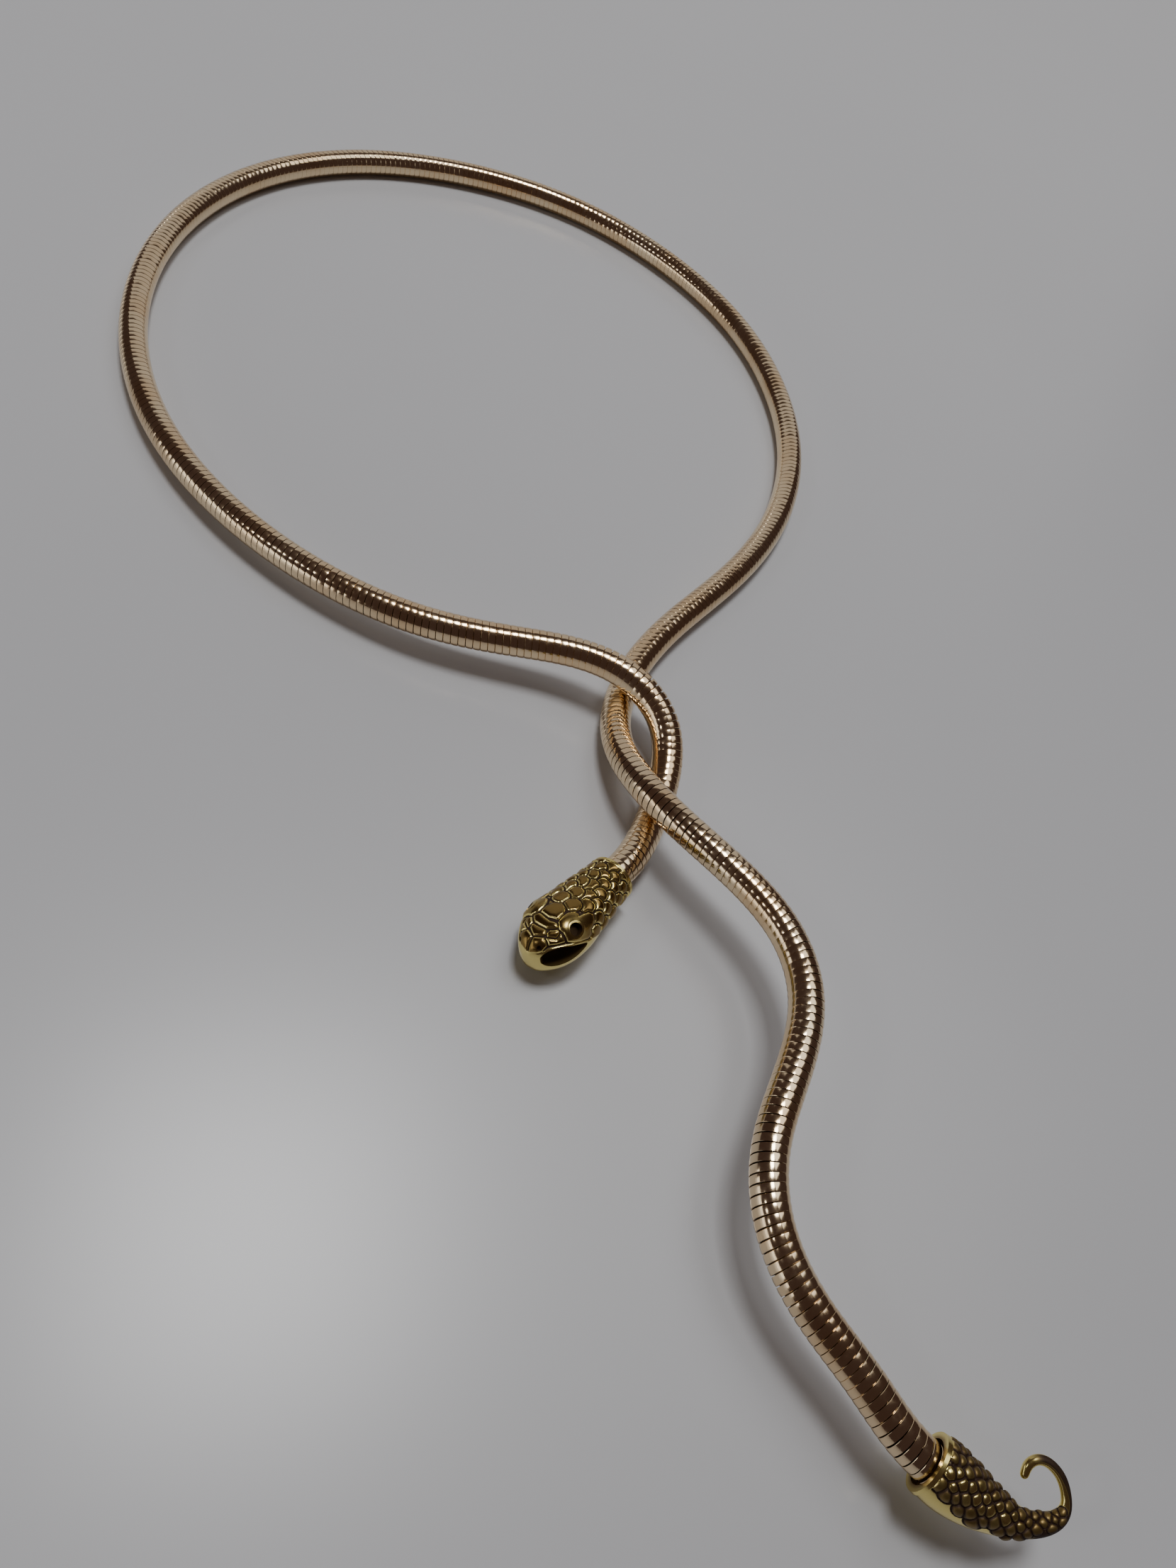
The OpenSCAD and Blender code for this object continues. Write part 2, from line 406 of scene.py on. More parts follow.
@dataclass(frozen=True)
class Route:
    """Control points of the tube's centre line, in millimetres, from the neck rim to the tail rim."""

    points: tuple[Triple, ...] = (
        (-20, -58, 5), (-14, -54.5, 4.8), (-6.5, -46.5, 3.4), (0, -37.5, 4.4), (2.5, -28.5, 7.8),
        (-2, -18.5, 10.6), (-11, -10.5, 9.6), (-23, -5.5, 8), (-37.5, 1, 6.8), (-51, 11.5, 5.8),
        (-63, 25.5, 5), (-73, 43, 4.2), (-79.5, 64, 3.4), (-80.5, 88, 3), (-75, 113, 3),
        (-62.5, 136.5, 3), (-44, 155, 3), (-21, 166, 3), (3, 168.5, 3), (28, 163.5, 3),
        (50.5, 151.5, 3), (68, 131, 3), (79, 106, 3), (80.5, 80, 3), (74, 52, 3), (58.5, 28, 3),
        (38, 11, 3), (15.5, -1, 3), (0, -13.5, 3), (-8.5, -27, 4), (-10, -40, 8.6), (-7.5, -53, 12.4),
        (-1.5, -64.5, 13.4), (3.5, -77.5, 14.2), (1.5, -91, 14.8), (-7, -101.5, 14.4),
        (-16.5, -110.5, 13.8), (-21, -122, 12.8), (-19.5, -134, 11.8), (-15.2, -143.8, 11.2),
        (-13, -152.2, 10.4), (-10.2, -156.8, 9.9),
    )

    def line(self, steps: int) -> Array:
        """Points of the smooth centre line between the two rims, with a number of steps in each span."""
        rows = np.array(self.points)
        return spline(rows, np.linspace(0, len(rows) - 1, (len(rows) - 1) * steps + 1))

    def way(self, end: int) -> Array:
        """Direction outward at one end, 0 for the neck and -1 for the tail."""
        rows = np.array(self.points)
        return unit(rows[0] - rows[1]) if end == 0 else unit(rows[-1] - rows[-2])

    def seat(self, end: int, roll: float) -> Matrix:
        """Placement of a casting whose x axis points outward from the tube's end.

        Args:
            end: 0 for the neck, -1 for the tail.
            roll: Turn about that axis, in degrees.

        Returns:
            A matrix from the casting's frame, in millimetres, to the row frame in metres.
        """
        x, y, z = self.way(end)
        turn = Matrix.Rotation(math.atan2(y, x), 4, "Z") @ Matrix.Rotation(-math.asin(z), 4, "Y")
        turn = turn @ Matrix.Rotation(math.radians(roll), 4, "X")
        return Matrix.Translation(Vector(self.points[end]) * MM) @ turn @ Matrix.Scale(MM, 4)


def grid_mesh(name: str, rings: Array, layers: dict[str, Array]) -> Mesh:
    """Closed mesh over rings of points, with a fan at each end.

    Args:
        name: The mesh's name.
        rings: Points as rings by sides by 3.
        layers: Numbers for each point, by attribute name, as rings by sides.

    Returns:
        The mesh, with a centre point added at each end.
    """
    count, sides = rings.shape[:2]
    centres = np.array([rings[0].mean(0), rings[-1].mean(0)])
    points = np.vstack([rings.reshape(-1, 3), centres])
    k = np.arange(sides)
    after = (k + 1) % sides
    base = np.arange(count - 1)[:, None] * sides
    quads = np.stack([base + k, base + after, base + sides + after, base + sides + k], -1).reshape(-1, 4)
    first = np.stack([after, k, np.full(sides, count * sides)], -1)
    last_row = (count - 1) * sides
    last = np.stack([last_row + k, last_row + after, np.full(sides, count * sides + 1)], -1)
    faces = quads.tolist() + first.tolist() + last.tolist()
    corner, beside, over = points[quads[:, 0]], points[quads[:, 1]], points[quads[:, 2]]
    if (np.cross(corner, beside) * over).sum() < 0:
        faces = [face[::-1] for face in faces]
    mesh = bpy.data.meshes.new(name)
    mesh.from_pydata(points.tolist(), [], faces)
    for layer, numbers in layers.items():
        flat = np.append(numbers.reshape(-1), [numbers[0].mean(), numbers[-1].mean()])
        mesh.attributes.new(layer, "FLOAT", "POINT").data.foreach_set("value", flat.astype(np.float32))
    return mesh


def outward(rings: Array) -> Array:
    """Outward directions of a skin of rings, square to it at each point.

    Args:
        rings: Points as rings by sides by 3.

    Returns:
        Vectors one long, in the same layout.
    """
    around = np.roll(rings, -1, axis=1) - np.roll(rings, 1, axis=1)
    along = np.gradient(rings, axis=0)
    found = unit(np.cross(around, along))
    middle = rings.mean(axis=1, keepdims=True)
    return found if ((rings - middle) * found).sum() > 0 else -found


def new_object(name: str, data: ID, *finishes: Material) -> Object:
    """Puts an object in the scene, at the origin.

    Args:
        name: Its name.
        data: Its mesh, curve, lamp or camera.
        *finishes: Its materials.

    Returns:
        The new object.
    """
    made = bpy.data.objects.new(name, data)
    bpy.context.scene.collection.objects.link(made)
    for finish in finishes:
        data.materials.append(finish)
    return made


def baked(piece: Object) -> Mesh:
    """Plain mesh of an object as its modifiers leave it."""
    return bpy.data.meshes.new_from_object(piece.evaluated_get(bpy.context.evaluated_depsgraph_get()))


def cut_away(piece: Object, cutters: Sequence[Mesh], tone: float) -> None:
    """Cuts closed meshes out of a piece, whose own mesh is replaced by the result.

    Args:
        piece: The piece, at the origin.
        cutters: Closed meshes in the same frame as its mesh.
        tone: How dark the cut faces are, from 0 to 1.
    """
    tools = []
    for cutter in cutters:
        for layer, number in (("groove", tone), ("polish", 0.0)):
            data = (cutter.attributes.get(layer) or cutter.attributes.new(layer, "FLOAT", "POINT")).data
            data.foreach_set("value", np.full(len(data), number, np.float32))
        tool = new_object("cutter", cutter)
        step = piece.modifiers.new("cut", "BOOLEAN")
        step.operation = "DIFFERENCE"
        step.solver = "MANIFOLD"
        step.object = tool
        tools.append(tool)
    mesh = baked(piece)
    piece.modifiers.clear()
    piece.data = mesh
    for tool in tools:
        bpy.data.objects.remove(tool)


def rod(radius: float, low: float, high: float, place: Matrix, sides: int = 64) -> Mesh:
    """Round rod along the z axis, then moved to its place.

    Args:
        radius: Radius.
        low: Lower end along z.
        high: Upper end along z.
        place: Where it goes.
        sides: Sides of its round section.

    Returns:
        A closed mesh.
    """
    angle = np.linspace(0, 2 * np.pi, sides, endpoint=False)
    ring = np.stack([radius * np.cos(angle), radius * np.sin(angle), 0 * angle], -1)
    levels = np.linspace(low, high, 2 + int(ROD_RINGS_PER_MM * (high - low)))
    mesh = grid_mesh("rod", np.stack([ring + [0, 0, level] for level in levels]), {})
    mesh.transform(place)
    return mesh


@dataclass
class Gooseneck:
    """The wound tube: one flat strip wound in a long helix round a hidden inner winding.

    The free end is the share of the path that stays bare at each end, and a waver leans the turns a
    little by a noise that changes with its pace from turn to turn.
    """

    route: Route
    finish: StripFinish = StripFinish()
    tube_r: float = 3.0
    turns: int = 522
    facets: int = 26
    strip_w: float = 1.34
    strip_depth: float = 0.45
    bevel: float = 0.05
    crown: float = 0.05
    waver: float = 0.10
    waver_pace: float = 0.8
    waver_start: float = 7.0
    weld: float = 0.002
    inner_r: float = 2.55
    inner_rings: int = 200
    inner_sides: int = 10
    reach: float = 4.9
    route_steps: int = 16
    end_steps: int = 6
    free_end: float = 0.0013
    shoulder_dark: float = 0.12
    sharp_from: float = 30.0

    def path(self) -> Object:
        """Centre line from socket to socket, as a curve object of one open spline.

        Returns:
            The curve object.
        """
        line = self.route.line(self.route_steps)
        start = self.route.way(0) * self.reach + line[0]
        end = self.route.way(-1) * self.reach + line[-1]
        first = np.linspace(start, line[0], self.end_steps)[:-1]
        last = np.linspace(line[-1], end, self.end_steps)[1:]
        line = np.vstack([first, line, last])
        curve = bpy.data.curves.new("centre line", "CURVE")
        curve.dimensions = "3D"
        track = curve.splines.new("POLY")
        track.points.add(len(line) - 1)
        track.points.foreach_set("co", np.c_[line * MM, np.ones(len(line))].reshape(-1))
        return new_object("gooseneck", curve)

    def sizes(self) -> dict[str, float]:
        """Sizes that the winding takes in.

        Returns:
            Whole numbers, and lengths in metres, by the names of the winding's inputs.
        """
        return {
            "Turns": self.turns,
            "Facets": self.facets,
            "Tube Radius": self.tube_r * MM,
            "Half Width": self.strip_w / 2 * MM,
            "Inner Radius": self.inner_r * MM,
            "Waver": self.waver * MM,
        }

    def profile(self) -> list[Triple]:
        """Strip's outline across its width.

        Returns:
            For each corner, its place across as a share of half the width, its height over the tube's
            radius in metres, and how deep in the gap it lies, from 0 to 1.
        """
        deep = -self.strip_depth * MM
        edge = -self.bevel * MM
        flat = 1 - self.bevel / (self.strip_w / 2)
        # How deep a corner lies sets how much painted shade the strip's finish puts there.
        dark = self.shoulder_dark
        return [
            (-1, deep, 1), (-1, edge, dark), (-flat, 0, 0), (0, self.crown * MM, 0), (flat, 0, 0),
            (1, edge, dark), (1, deep, 1), (-1, deep, 1),
        ]

    @staticmethod
    def marked(board: Board, made: Node, depth: object) -> Node:
        """Node that marks a node's geometry with how deep in the gap it lies."""
        values = {"Geometry": made.outputs[0], "Name": "gap_depth", "Value": depth}
        return board.node("GeometryNodeStoreNamedAttribute", values)

    def winding(self, finish: Material) -> NodeTree:
        """Node tree that winds the strip along a curve.

        Args:
            finish: Material of the strip.

        Returns:
            The tree, with its sizes as named inputs.
        """
        tree = bpy.data.node_groups.new("wound strip", "GeometryNodeTree")
        tree.interface.new_socket("Path", in_out="INPUT", socket_type="NodeSocketGeometry")
        for name, size in self.sizes().items():
            kind = "NodeSocketInt" if isinstance(size, int) else "NodeSocketFloat"
            tree.interface.new_socket(name, in_out="INPUT", socket_type=kind)
        tree.interface.new_socket("Tube", in_out="OUTPUT", socket_type="NodeSocketGeometry")
        board = Board(tree)
        source = board.node("NodeGroupInput")
        given = {socket.name: Number(board, socket) for socket in source.outputs if socket.name}
        corners = self.profile()
        rows = len(corners)
        columns = given["Turns"] * given["Facets"] + 1
        grid = board.node("GeometryNodeMeshGrid", {"Vertices X": columns, "Vertices Y": rows})
        index = board.number("GeometryNodeInputIndex")
        column = (index / rows).floor()
        split = board.node("ShaderNodeSeparateXYZ", {0: board.choice(index % rows, corners)})
        across, height, depth = (Number(board, socket) for socket in split.outputs)
        share = column / (columns - 1)
        factor = self.free_end + (1 - 2 * self.free_end) * share
        values = {"Curves": source.outputs["Path"], "Factor": factor}
        centre = board.node("GeometryNodeSampleCurve", values, mode="FACTOR", use_all_curves=True)
        turned = share * given["Turns"]
        angle = turned * (2 * math.pi)
        normal = centre.outputs["Normal"]
        side = board.vector("CROSS_PRODUCT", centre.outputs["Tangent"], normal)
        radial = board.vector("ADD", board.scaled(normal, angle.cosine()), board.scaled(side, angle.sine()))
        values = {"W": turned * self.waver_pace + self.waver_start, "Scale": 1.0}
        sway = board.number("ShaderNodeTexNoise", values, "Fac", noise_dimensions="1D")
        lean = across * (sway - 0.5) * given["Waver"]
        out = board.scaled(radial, given["Tube Radius"] + height + lean)
        aside = board.scaled(centre.outputs["Tangent"], across * given["Half Width"])
        point = board.vector("ADD", board.vector("ADD", centre.outputs["Position"], out), aside)
        wound = board.node("GeometryNodeSetPosition", {0: grid.outputs[0], "Position": point})
        marked = self.marked(board, wound, depth)
        values = {"Geometry": marked.outputs[0], "Distance": self.weld * MM}
        closed = board.node("GeometryNodeMergeByDistance", values)
        values = {"Curve": source.outputs["Path"], "Count": self.inner_rings}
        coarse = board.node("GeometryNodeResampleCurve", values, mode="COUNT")
        values = {"Resolution": self.inner_sides, "Radius": given["Inner Radius"]}
        circle = board.node("GeometryNodeCurvePrimitiveCircle", values)
        values = {"Curve": coarse.outputs[0], "Profile Curve": circle.outputs[0], "Fill Caps": True}
        inner = board.node("GeometryNodeCurveToMesh", values)
        both = board.node("GeometryNodeJoinGeometry")
        # The hidden inner winding counts as fully deep, so it takes the full painted shade of the gaps.
        for part in (closed, self.marked(board, inner, 1.0)):
            tree.links.new(part.outputs[0], both.inputs[0])
        real = board.node("GeometryNodeRealizeInstances", {0: both.outputs[0]})
        dressed = board.node("GeometryNodeSetMaterial", {0: real.outputs[0], "Material": finish})
        board.node("NodeGroupOutput", {0: dressed.outputs[0]})
        return tree

    def build(self) -> Object:
        """Winds the tube.

        Returns:
            The piece, which replaces the CAD tube.
        """
        path = self.path()
        modifier = path.modifiers.new("winding", "NODES")
        modifier.node_group = self.winding(self.finish.material())
        sizes = self.sizes()
        for item in modifier.node_group.interface.items_tree:
            if item.name in sizes:
                modifier[item.identifier] = sizes[item.name]
        mesh = baked(path)
        bpy.data.objects.remove(path)
        mesh.shade_smooth()
        mesh.set_sharp_from_angle(angle=math.radians(self.sharp_from))
        piece = new_object("gooseneck_tube", mesh)
        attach(piece, "root")
        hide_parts("gooseneck")
        return piece


def polygon_inside(x: Array, y: Array, corners: Outline) -> Array:
    """Distance inside a plate's outline, negative outside it.

    Args:
        x: First coordinate of each point.
        y: Second coordinate of each point.
        corners: The outline's corners in order.

    Returns:
        Distances in the points' own unit.
    """
    nearest = np.full(x.shape, np.inf)
    inside = np.zeros(x.shape, bool)
    for (ax, ay), (bx, by) in zip(corners, [*corners[1:], corners[0]]):
        ex, ey = bx - ax, by - ay
        t = np.clip(((x - ax) * ex + (y - ay) * ey) / (ex * ex + ey * ey), 0, 1)
        nearest = np.minimum(nearest, np.hypot(x - ax - t * ex, y - ay - t * ey))
        meets = ax + (y - ay) * ex / (ey or 1.0)
        inside ^= ((ay > y) != (by > y)) & (x < meets)
    return np.where(inside, nearest, -nearest)


@dataclass
class Relief:
    """Layers of raised scales and plates over a surface, the first laid on top of the next.

    Both groove pairs say where a groove's darkness starts to change and where it ends, on a scale and
    off it, in half widths of the groove.
    """

    x: Array
    y: Array
    back_share: float = 0.8
    roundness: float = 2.3
    tip_lift: float = 0.09
    cell_dome: float = 0.30
    flat_edge: float = 0.05
    groove_on: Pair = (0.4, 1.3)
    groove_off: Pair = (1.2, 2.4)
    edge: Array = field(init=False)
    taken: Array = field(init=False)
    tilt: Array = field(init=False)

    def __post_init__(self) -> None:
        """Starts with a bare surface."""
        self.edge = np.full(self.x.shape, FAR)
        self.taken = np.zeros(self.x.shape, bool)
        self.tilt = np.zeros(self.x.shape)

    def lay(self, inside: Array, tilt: Array | float = 0.0) -> None:
        """Lays one scale or plate under those that already lie there.

        Args:
            inside: Distance inside its outline, negative outside.
            tilt: Extra height over it.
        """
        mine = (inside > 0) & ~self.taken
        self.edge = np.where(mine, np.minimum(self.edge, inside), self.edge)
        self.tilt = np.where(mine, tilt, self.tilt)
        self.taken |= mine
        self.edge = np.where(self.taken, self.edge, np.minimum(self.edge, -inside))

    def plates(self, outlines: Sequence[Outline], grow: float = 0.22) -> None:
        """Lays plates side by side, which meet in the middle of the gaps between them.

        Args:
            outlines: Corners of each plate's outline.
            grow: How far each plate reaches past its outline where it has room.
        """
        first = np.full(self.x.shape, -FAR)
        second = first
        for corners in outlines:
            inside = polygon_inside(self.x, self.y, corners)
            second = np.maximum(second, np.minimum(first, inside))
            first = np.maximum(first, inside)
        self.lay(np.minimum(first + grow, np.where(first > -grow, (first - second) / 2, FAR)))

    def cells(self, middles: Sequence[Triple], reach: float) -> None:
        """Lays domed cells side by side, each the part of the surface nearest its own middle.

        Args:
            middles: Place of each middle along the casting and round it, and the cell's size.
            reach: How far a cell of size 1 reaches from its middle where it has room.
        """
        first = np.full(self.x.shape, FAR)
        second = first
        for x, y, size in middles:
            away = np.hypot(self.x - x, self.y - y) / size
            second = np.minimum(second, np.maximum(first, away))
            first = np.minimum(first, away)
        self.lay(np.minimum(reach - first, (second - first) / 2), self.cell_dome * (1 - first**2))

    def scale(self, x: float, y: float, length: float, width: float) -> None:
        """Lays one rounded scale, whose tip points toward lower x.

        Args:
            x: Place of its middle along the casting.
            y: Place of its middle round the casting.
            length: Length from its middle to its tip.
            width: Half its width.
        """
        ahead = x - self.x
        reach = np.where(ahead > 0, length, self.back_share * length)
        power = self.roundness
        round_to = (np.abs(ahead / reach) ** power + np.abs((self.y - y) / width) ** power) ** (1 / power)
        self.lay((1 - round_to) * min(length, width), self.tip_lift * np.clip(ahead / length, -1, 1))

    def height(self, rise: float, shoulder: float) -> Array:
        """Height over the grooves, most of which a scale reaches within a shoulder from its edge."""
        share = 1 - np.exp(-np.maximum(self.edge - self.flat_edge, 0) / shoulder)
        return np.where(self.taken, rise * share + self.tilt, 0.0)

    def groove(self, width: float) -> Array:
        """How much of a groove each point lies in.

        Args:
            width: Half the groove's width.

        Returns:
            Shares from 0 to 1.
        """
        on_scale = smooth_step(self.edge, *(share * width for share in self.groove_on))
        off_scale = smooth_step(self.edge, *(share * width for share in self.groove_off))
        return 1 - np.where(self.taken, on_scale, off_scale)


@dataclass
class Casting:
    """What the head and the tail share: their metal, their socket and how they are set on the tube."""

    route: Route
    finish: Material
    socket_r: float = 3.1
    socket_depth: float = 5.0
    entry_r: float = 3.5
    entry_depth: float = 1.5
    bore_tone: float = 0.5
    clear: float = 1.0
    sharp_from: float = 50.0

    def bore(self) -> list[Mesh]:
        """Cutters of the tube's socket and its wider mouth.

        Returns:
            Closed meshes.
        """
        turn = Matrix.Rotation(math.pi / 2, 4, "Y")
        steps = (self.socket_r, self.socket_depth), (self.entry_r, self.entry_depth)
        return [rod(radius, -self.clear, depth, turn) for radius, depth in steps]

    def settle(self, mesh: Mesh, place: Matrix) -> None:
        """Moves a finished mesh to its place and shades it smooth between its sharp edges.

        Args:
            mesh: The mesh, in the casting's own frame.
            place: Where the casting sits on the tube.
        """
        mesh.transform(place)
        mesh.shade_smooth()
        mesh.set_sharp_from_angle(angle=math.radians(self.sharp_from))


@dataclass
class SnakeHead(Casting):
    """The cast head: scaled neck, plated crown, domed eyes, smooth lips and a slot for the hook.

    A section gives its place along the head as a share of the length, its half width as a share of the
    width, its reach above and below the axis as shares of the height, and how square it is above and
    below. Plates, scales and the line of the lips are charted by their place along the head and round it
    from the crown, in millimetres. Where a pair names a change, it starts and ends there.
    """

    length: float = 23.6
    width: float = 12.0
    height: float = 9.6
    roll: float = 28.0
    eye_d: float = 2.3
    eye_angle: float = 58.0
    eye_share: float = 0.695
    eye_reach: Pair = (0.42, 0.67)
    eye_at: Pair = (16.3, 5.35)
    eye_dome: float = 0.28
    eye_spread: float = 2.3
    eye_ring: Triple = (0.05, 0.25, 0.2)
    eye_polish: Pair = (0.5, 2.6)
    eye_tone: float = 0.66
    nostril_d: float = 0.8
    nostril_share: float = 0.94
    nostril_at: Pair = (1.9, 2.0)
    nostril_turn: Pair = (45.0, 20.0)
    nostril_depth: float = 3.0
    nostril_sides: int = 32
    mouth_l: float = 8.0
    mouth_h: float = 3.7
    mouth_end: float = 0.6
    mouth_dip: float = 0.33
    mouth_tall: float = 0.46
    mouth_flare: float = 0.48
    mouth_sides: int = 72
    mouth_rings: int = 140
    post_d: float = 4.7
    post_at: float = 0.25
    scale_l: float = 1.42
    scale_w: float = 1.27
    scale_start: float = 1.06
    scale_growth: float = 0.017
    rise: float = 0.42
    shoulder: float = 0.19
    groove_w: float = 0.16
    lip_rise: float = 0.3
    lip_edge: Pair = (-0.1, 0.25)
    lip_swells: Pair = (8.0, 14.0)
    rim_edge: Pair = (0.5, 0.8)
    scales_from: Pair = (0.55, 0.75)
    worn_edge: Pair = (0.2, 0.45)
    sink: float = 0.3
    rings: int = 226
    sides: int = 384
    fineness: int = 2001
    gather: float = 0.22
    flank: float = 0.1
    midline: float = 0.2
    sections: tuple[tuple[float, ...], ...] = (
        (0.00, 0.367, 0.458, 0.458, 2.0, 2.0), (0.06, 0.367, 0.458, 0.458, 2.0, 2.0),
        (0.12, 0.380, 0.458, 0.458, 2.1, 2.1), (0.22, 0.405, 0.458, 0.458, 2.2, 2.4),
        (0.36, 0.448, 0.458, 0.458, 2.4, 2.6), (0.50, 0.490, 0.465, 0.471, 2.4, 2.8),
        (0.62, 0.503, 0.522, 0.485, 2.4, 2.8), (0.74, 0.485, 0.502, 0.485, 2.4, 2.8),
        (0.84, 0.405, 0.400, 0.480, 2.4, 2.8), (0.92, 0.300, 0.380, 0.408, 2.4, 2.8),
        (0.98, 0.190, 0.240, 0.335, 2.4, 2.6), (1.00, 0.080, 0.110, 0.180, 2.2, 2.4),
    )
    shield: Outline = (
        (13.9, 0.4), (14.5, 1.5), (15.8, 2.1), (17.1, 2.0), (17.5, 0.3), (17.2, -1.5), (15.7, -1.5),
        (14.5, -0.9),
    )
    band: Outline = (
        (18.2, -2.4), (17.6, -1.9), (17.6, -1.2), (17.9, -0.2), (18.1, 1.0), (17.9, 1.9), (17.9, 2.5),
        (18.4, 2.8), (18.9, 2.3), (19.3, 1.3), (19.4, 0.3), (19.3, -0.8), (19.1, -1.8),
    )
    wedge: Outline = (
        (20.2, -1.6), (19.6, -1.5), (19.7, -0.4), (19.7, 0.8), (19.8, 1.4), (20.3, 1.8), (20.8, 1.5),
        (21.5, 0.2),
    )
    brow: Outline = (
        (17.6, 2.5), (16.2, 2.4), (15.0, 2.6), (14.1, 3.2), (13.9, 3.8), (14.3, 4.3), (13.2, 4.5),
        (12.1, 4.8), (11.6, 5.5), (11.9, 6.4), (12.8, 7.2), (13.6, 7.5), (13.6, 8.4), (14.6, 8.8),
        (16.2, 7.9), (17.7, 6.8), (18.5, 5.8), (18.2, 4.2), (18.3, 3.3),
    )
    cheek: Outline = (
        (20.0, 2.0), (19.3, 2.1), (18.6, 3.1), (18.8, 3.6), (19.5, 3.8), (20.4, 2.4),
    )
    lip_plate: Outline = (
        (20.8, 2.4), (19.9, 3.9), (18.8, 4.0), (19.0, 5.3), (20.2, 4.4), (21.2, 3.4),
    )
    nose: Outline = (
        (21.7, 0.4), (21.0, 2.0), (21.5, 3.2), (22.5, 2.9), (23.1, 2.0), (23.6, 0.4),
    )
    crown_scales: Outline = (
        (13.1, 1.9), (12.6, -1.1), (10.3, 0.3), (9.7, 2.5), (9.3, -2.1), (7.5, -0.8), (7.3, 1.3),
        (5.2, -0.2), (4.3, 1.5), (2.9, -0.2), (1.3, 1.5), (1.2, -1.7),
    )
    flank_scales: Outline = (
        (11.5, 3.7), (11.0, 7.0), (9.8, 4.9), (8.3, 6.7), (7.7, 3.8), (6.3, 5.5), (5.7, 2.8), (4.6, 4.6),
        (4.6, 7.1), (3.0, 3.2), (2.6, 5.7), (1.1, 4.4), (1.0, 7.0), (12.6, 8.9), (9.7, 8.9), (6.7, 8.5),
        (2.8, 8.4),
    )
    lip_line: Outline = (
        (0, 9.6), (11.5, 9.8), (13.2, 9.5), (14.6, 9.1), (16.3, 7.9), (18.2, 6.5), (19.9, 5.0), (21.1, 4.0),
        (22.3, 3.1), (22.9, 2.3), (23.3, 1.2), (23.5, -0.3),
    )

    def skin(self) -> tuple[Array, Array]:
        """Smooth skin before its relief.

        Returns:
            Points as rings by sides by 3, and each point's place round the head from the crown, positive
            to the left, all in millimetres.
        """
        rows = np.array(self.sections)
        fine = np.linspace(0, len(rows) - 1, self.fineness)
        dense = spline(rows, fine)
        crown = np.stack([dense[:, 0] * self.length, dense[:, 2] * self.height], -1)
        run = travelled(crown)
        row = spline(rows, np.interp(np.linspace(0, run[-1], self.rings), run, fine))[:, :, None]
        even = np.linspace(-1, 1, self.sides, endpoint=False)
        angle = np.pi * ((1 - self.gather) * even + self.gather * even**5)
        left, up = np.sin(angle), np.cos(angle)
        above = smooth_step(up, -self.flank, self.flank)
        square = row[:, 5] + (row[:, 4] - row[:, 5]) * above
        tall = np.where(up > 0, row[:, 2], row[:, 3]) * self.height
        y = row[:, 1] * self.width * np.sign(left) * np.abs(left) ** (2 / square)
        z = tall * np.sign(up) * np.abs(up) ** (2 / square)
        rings = np.stack([np.broadcast_to(row[:, 0] * self.length, y.shape), y, z], -1)
        step = np.linalg.norm(np.diff(rings[:, :, 1:], axis=1), axis=2)
        round_it = np.concatenate([np.zeros((self.rings, 1)), np.cumsum(step, axis=1)], 1)
        round_it -= round_it[:, [self.sides // 2]]
        return rings, round_it

    def mirrored(self, corners: Outline) -> Outline:
        """Outline on the other side of the head's midline."""
        return [(x, 2 * self.midline - y) for x, y in corners]

    def relief(self, x: Array, y: Array) -> tuple[Array, Array, Array]:
        """Relief over the chart of the head's skin.

        Args:
            x: Place along the head.
            y: Place round it from the crown.

        Returns:
            Height, share of groove and share of polish at each point.
        """
        layers = Relief(x, y)
        paired = (self.brow, self.cheek, self.lip_plate, self.nose)
        layers.plates([self.shield, self.band, self.wedge, *paired, *map(self.mirrored, paired)])
        centres = [*self.crown_scales, *self.flank_scales, *self.mirrored(self.flank_scales)]
        for along, aside in sorted(centres, reverse=True):
            size = self.scale_start + self.scale_growth * along
            layers.scale(along, aside, self.scale_l * size, self.scale_w * size)
        side = np.abs(y - self.midline)
        lip = np.interp(x, *zip(*self.lip_line))
        charted = smooth_step(lip - side, *self.lip_edge) * smooth_step(x, *self.scales_from)
        rim = 1 - smooth_step(x, *self.rim_edge)
        plain = 1 - charted
        eye = np.hypot(x - self.eye_at[0], side - self.eye_at[1])
        height = layers.height(self.rise, self.shoulder) * charted
        height = height + self.lip_rise * (plain * smooth_step(x, *self.lip_swells) + rim) - self.sink
        ring_rise, ring_out, ring_w = self.eye_ring
        ring = ring_rise * bell(eye - self.eye_d / 2 - ring_out, ring_w)
        height = height + self.eye_dome * bell(eye, self.eye_spread) + ring
        groove = layers.groove(self.groove_w) * charted * (1 - rim)
        worn = 1 - smooth_step(layers.edge, *self.worn_edge)
        polish = np.clip(plain + rim + worn * (1 - groove), 0, 1)
        shine, spread = self.eye_polish
        return height, groove, np.clip(polish + shine * bell(eye, spread) * (1 - groove), 0, 1)

    def build(self) -> Object:
        """Casts the head.

        Returns:
            The piece, which replaces the CAD head.
        """
        rings, y = self.skin()
        height, groove, polish = self.relief(rings[..., 0], y)
        rings = rings + outward(rings) * height[..., None]
        rings[0, :, 0] = 0.0
        mesh = grid_mesh("snake head", rings, {"groove": groove, "polish": polish})
        piece = new_object("cast_snake_head", mesh, self.finish)
        cut_away(piece, [*self.bore(), self.mouth()], self.bore_tone)
        cut_away(piece, self.eyes_and_nostrils(), self.eye_tone)
        self.settle(piece.data, self.route.seat(0, self.roll))
        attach(piece, "root")
        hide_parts("snake_head")
        return piece

